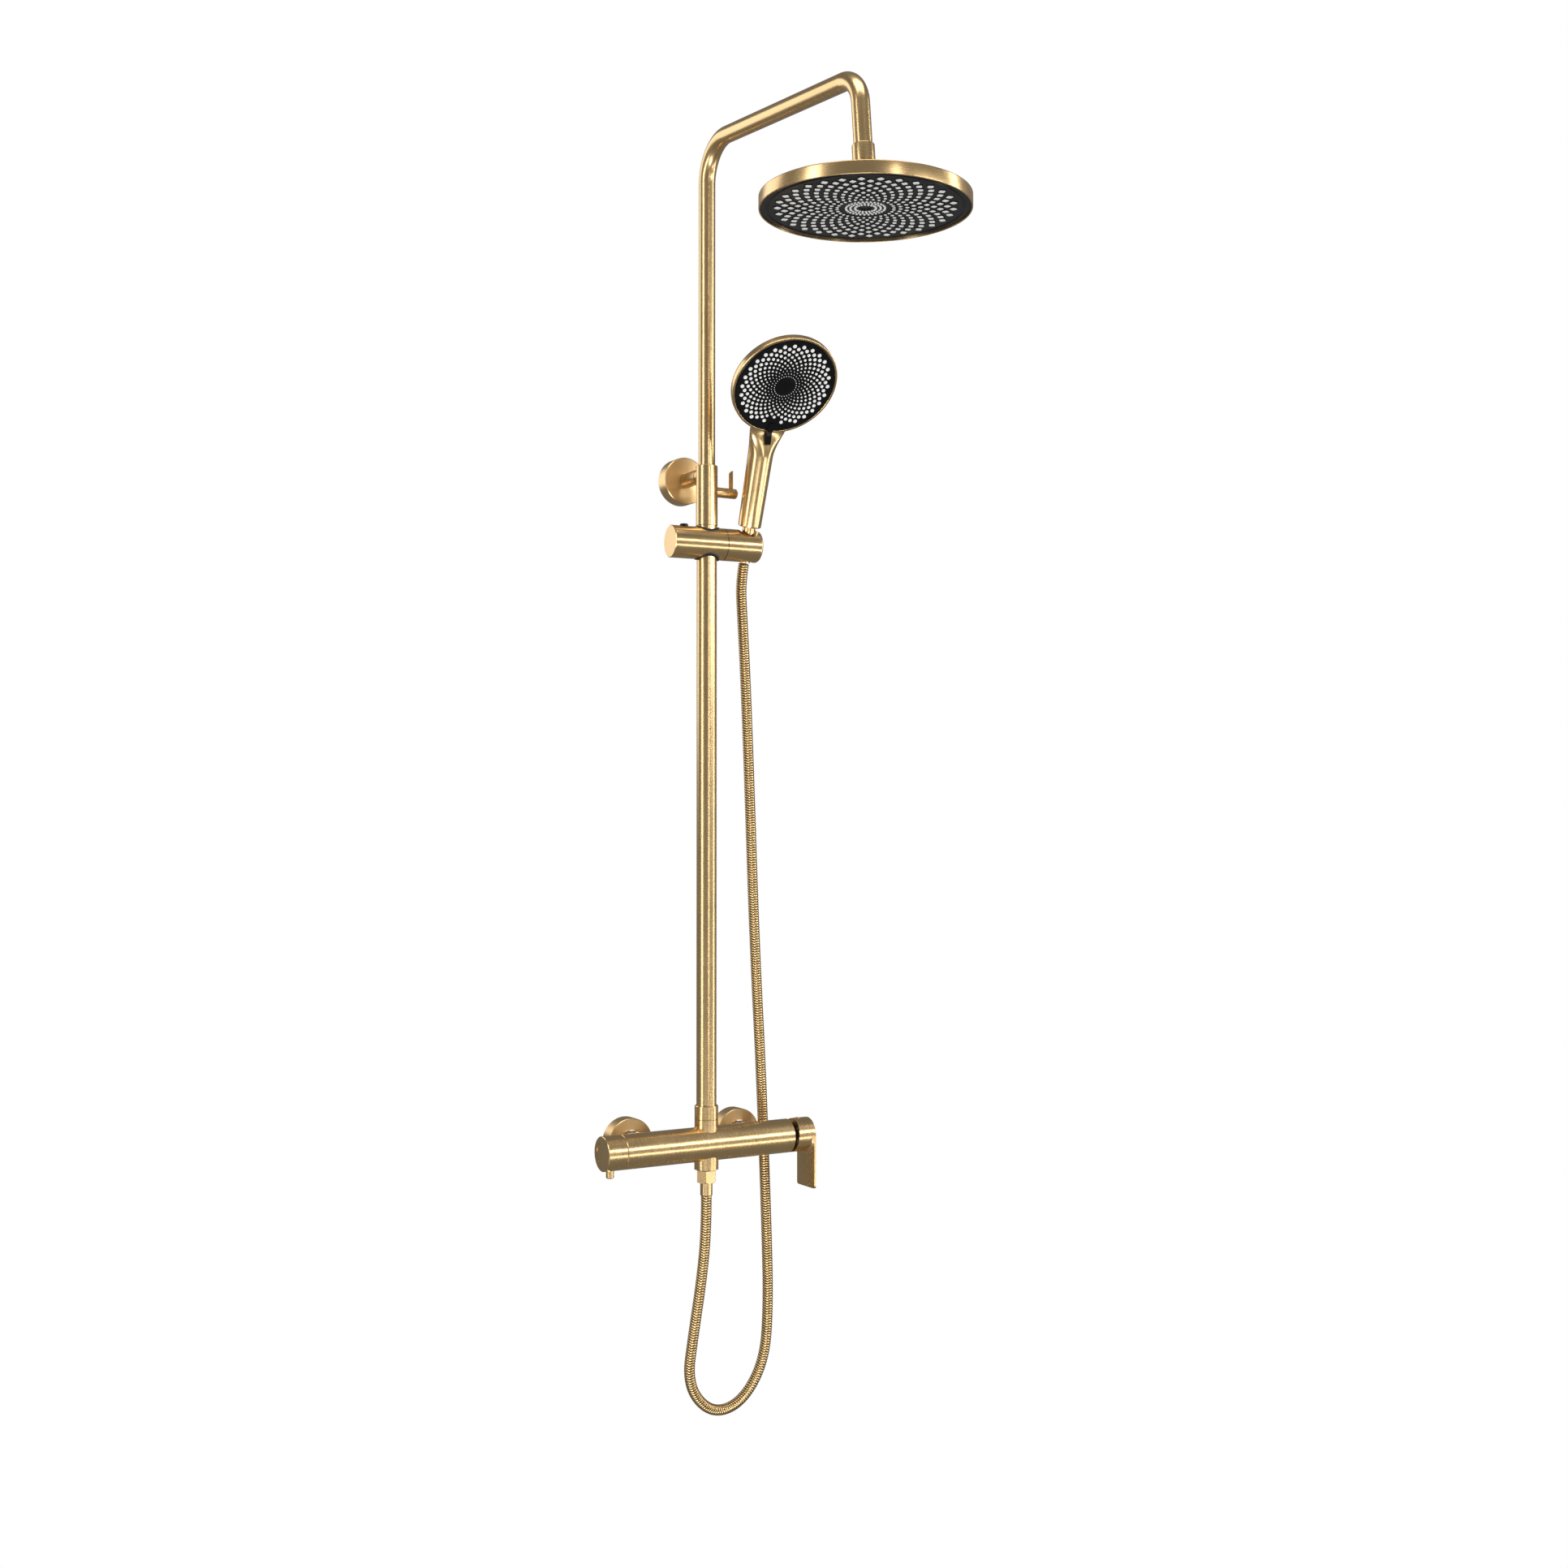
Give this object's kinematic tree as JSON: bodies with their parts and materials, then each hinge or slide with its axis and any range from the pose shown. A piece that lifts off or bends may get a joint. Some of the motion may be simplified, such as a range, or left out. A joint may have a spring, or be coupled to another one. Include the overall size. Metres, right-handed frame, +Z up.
{
  "type": "shower column",
  "caption": "Wall-mounted shower column: bar mixer with lever and diverter knob, telescopic riser, overhead rose, sliding hand shower and ribbed hose.",
  "frame": {"origin": "on the wall's finished surface, midway between the two water inlets", "axes": "+X along the mixer bar towards the lever, +Y into the wall, +Z up along the riser"},
  "size_m": [0.2827, 0.5645, 1.5593],
  "materials": {
    "gold": "satin brushed champagne gold",
    "gold_plastic": "plated satin gold",
    "gold_hose": "ribbed, metallised gold outer sleeve",
    "black_face": "satin black",
    "black_guide": "matt black bearing plastic",
    "white_silicone": "pale grey silicone",
    "black_rubber": "matt black rubber",
    "cover_black": "gloss black",
    "raw_brass": "machined brass",
    "steel": "machined stainless steel",
    "white_plastic": "moulded white acetal",
    "index_mark": "small coloured index plug"
  },
  "bodies": {
    "fixed_column": {"inlet_unions": "raw_brass", "sealing_washers": "black_rubber", "inlet_tails": "raw_brass", "check_valves": "white_plastic", "inlet_nuts": "gold", "wall_rosettes": "gold", "mixer_body": "gold", "mixing_cartridge": "white_plastic", "cartridge_nut": "raw_brass", "cartridge_cover": "cover_black", "diverter_cartridge": "white_plastic", "top_collar": "gold", "lower_tube": "gold", "o_rings": "black_rubber", "grub_screws": "steel", "hose_nut": "gold", "hose_ferrule": "gold", "shower_hose": "gold_hose", "bracket_base": "steel", "bracket_screws": "steel", "bracket_rosette": "gold", "bracket_stem": "gold", "clamp_sleeve": "gold"},
    "diverter": {"diverter_knob": "gold", "knob_pin": "gold", "diverter_spindle": "raw_brass"},
    "turret": {"cartridge_turret": "raw_brass", "lever_pin": "steel"},
    "lever": {"lever_stem": "raw_brass", "lever_handle": "gold", "index_plug": "index_mark"},
    "clamp": {"clamp_lever": "gold", "clamp_screw": "steel"},
    "piston": {"guide_piston": "black_guide", "piston_seals": "black_rubber"},
    "arm": {"upper_tube": "gold", "ball_fitting": "gold"},
    "ball_ring": {"rose_nut": "gold", "ball_seat": "white_plastic"},
    "rose": {"rose_shell": "gold", "rose_face": "black_face", "rose_nozzle_mat": "white_silicone", "rose_water_plate": "white_plastic", "rose_screws": "steel"},
    "slider_guide": {"slider_bushes": "black_guide"},
    "slider": {"slider_body": "gold_plastic", "holder_axle": "steel", "holder_washer": "black_guide", "button_spring": "steel"},
    "button": {"slider_button": "black_face"},
    "brake": {"brake_shoe": "black_guide"},
    "holder": {"holder": "gold_plastic"},
    "handset": {"handset_body": "gold_plastic", "handset_face": "black_face", "handset_nozzle_mat": "white_silicone", "spray_chamber": "white_plastic", "handset_tail": "gold", "hose_cone_nut": "gold_plastic", "handset_ferrule": "gold"},
    "selector": {"mode_selector": "black_face"}
  },
  "joints": [
    {"name": "diverter_turn", "type": "hinge", "parent": "fixed_column", "child": "diverter", "pos_m": [-0.1265, -0.0725, 0], "axis": [1, 0, 0], "range_deg": [-180, 0]},
    {"name": "temperature_turn", "type": "hinge", "parent": "fixed_column", "child": "turret", "pos_m": [0.11, -0.0725, 0], "axis": [1, 0, 0], "range_deg": [-45, 45]},
    {"name": "flow_lift", "type": "hinge", "parent": "turret", "child": "lever", "pos_m": [0.11, -0.0725, 0], "axis": [0, -1, 0], "range_deg": [0, 18]},
    {"name": "clamp_turn", "type": "hinge", "parent": "fixed_column", "child": "clamp", "pos_m": [0.033, -0.0725, 0.791], "axis": [1, 0, 0], "range_deg": [0, 90]},
    {"name": "riser_slide", "type": "slide", "parent": "fixed_column", "child": "piston", "axis": [0, 0, 1], "range_m": [-0.22, 0.06]},
    {"name": "arm_swing", "type": "hinge", "parent": "piston", "child": "arm", "pos_m": [0, -0.0725, 0.43], "axis": [0, 0, 1], "range_deg": [-80, 80]},
    {"name": "head_tilt", "type": "hinge", "parent": "arm", "child": "ball_ring", "pos_m": [0, -0.423, 1.062], "axis": [1, 0, 0], "range_deg": [-16, 5]},
    {"name": "head_swivel", "type": "hinge", "parent": "ball_ring", "child": "rose", "pos_m": [0, -0.423, 1.062], "axis": [0, 0, 1], "continuous": true},
    {"name": "slider_slide", "type": "slide", "parent": "fixed_column", "child": "slider_guide", "axis": [0, 0, 1], "range_m": [-0.36, 0], "deforming": ["shower_hose"]},
    {"name": "slider_swivel", "type": "hinge", "parent": "slider_guide", "child": "slider", "pos_m": [0, -0.0725, 0.7273], "axis": [0, 0, 1], "range_deg": [-30, 30]},
    {"name": "button_press", "type": "slide", "parent": "slider", "child": "button", "axis": [0, 0, -1], "range_m": [0, 0.002], "stiffness_N_per_m": 800, "springref_m": -0.001, "deforming": ["button_spring"]},
    {"name": "brake_release", "type": "slide", "parent": "slider", "child": "brake", "axis": [-0.9962, 0.0872, 0], "range_m": [0, 0.0008]},
    {"name": "holder_tilt", "type": "hinge", "parent": "slider", "child": "holder", "pos_m": [0, -0.0725, 0.7273], "axis": [0.9962, -0.0872, 0], "range_deg": [-6, 25]},
    {"name": "handset_turn", "type": "hinge", "parent": "holder", "child": "handset", "pos_m": [0.0528, -0.07712, 0.7273], "axis": [-0.0312, -0.357, 0.9336], "range_deg": [-30, 30]},
    {"name": "mode_select", "type": "hinge", "parent": "handset", "child": "selector", "pos_m": [0.04327, -0.18601, 0.90182], "axis": [-0.0616, -0.7044, -0.7071], "range_deg": [-20, 20]}
  ],
  "couplings": [
    {"joint": "brake_release", "follows": "button_press", "ratio": 0.4}
  ]
}
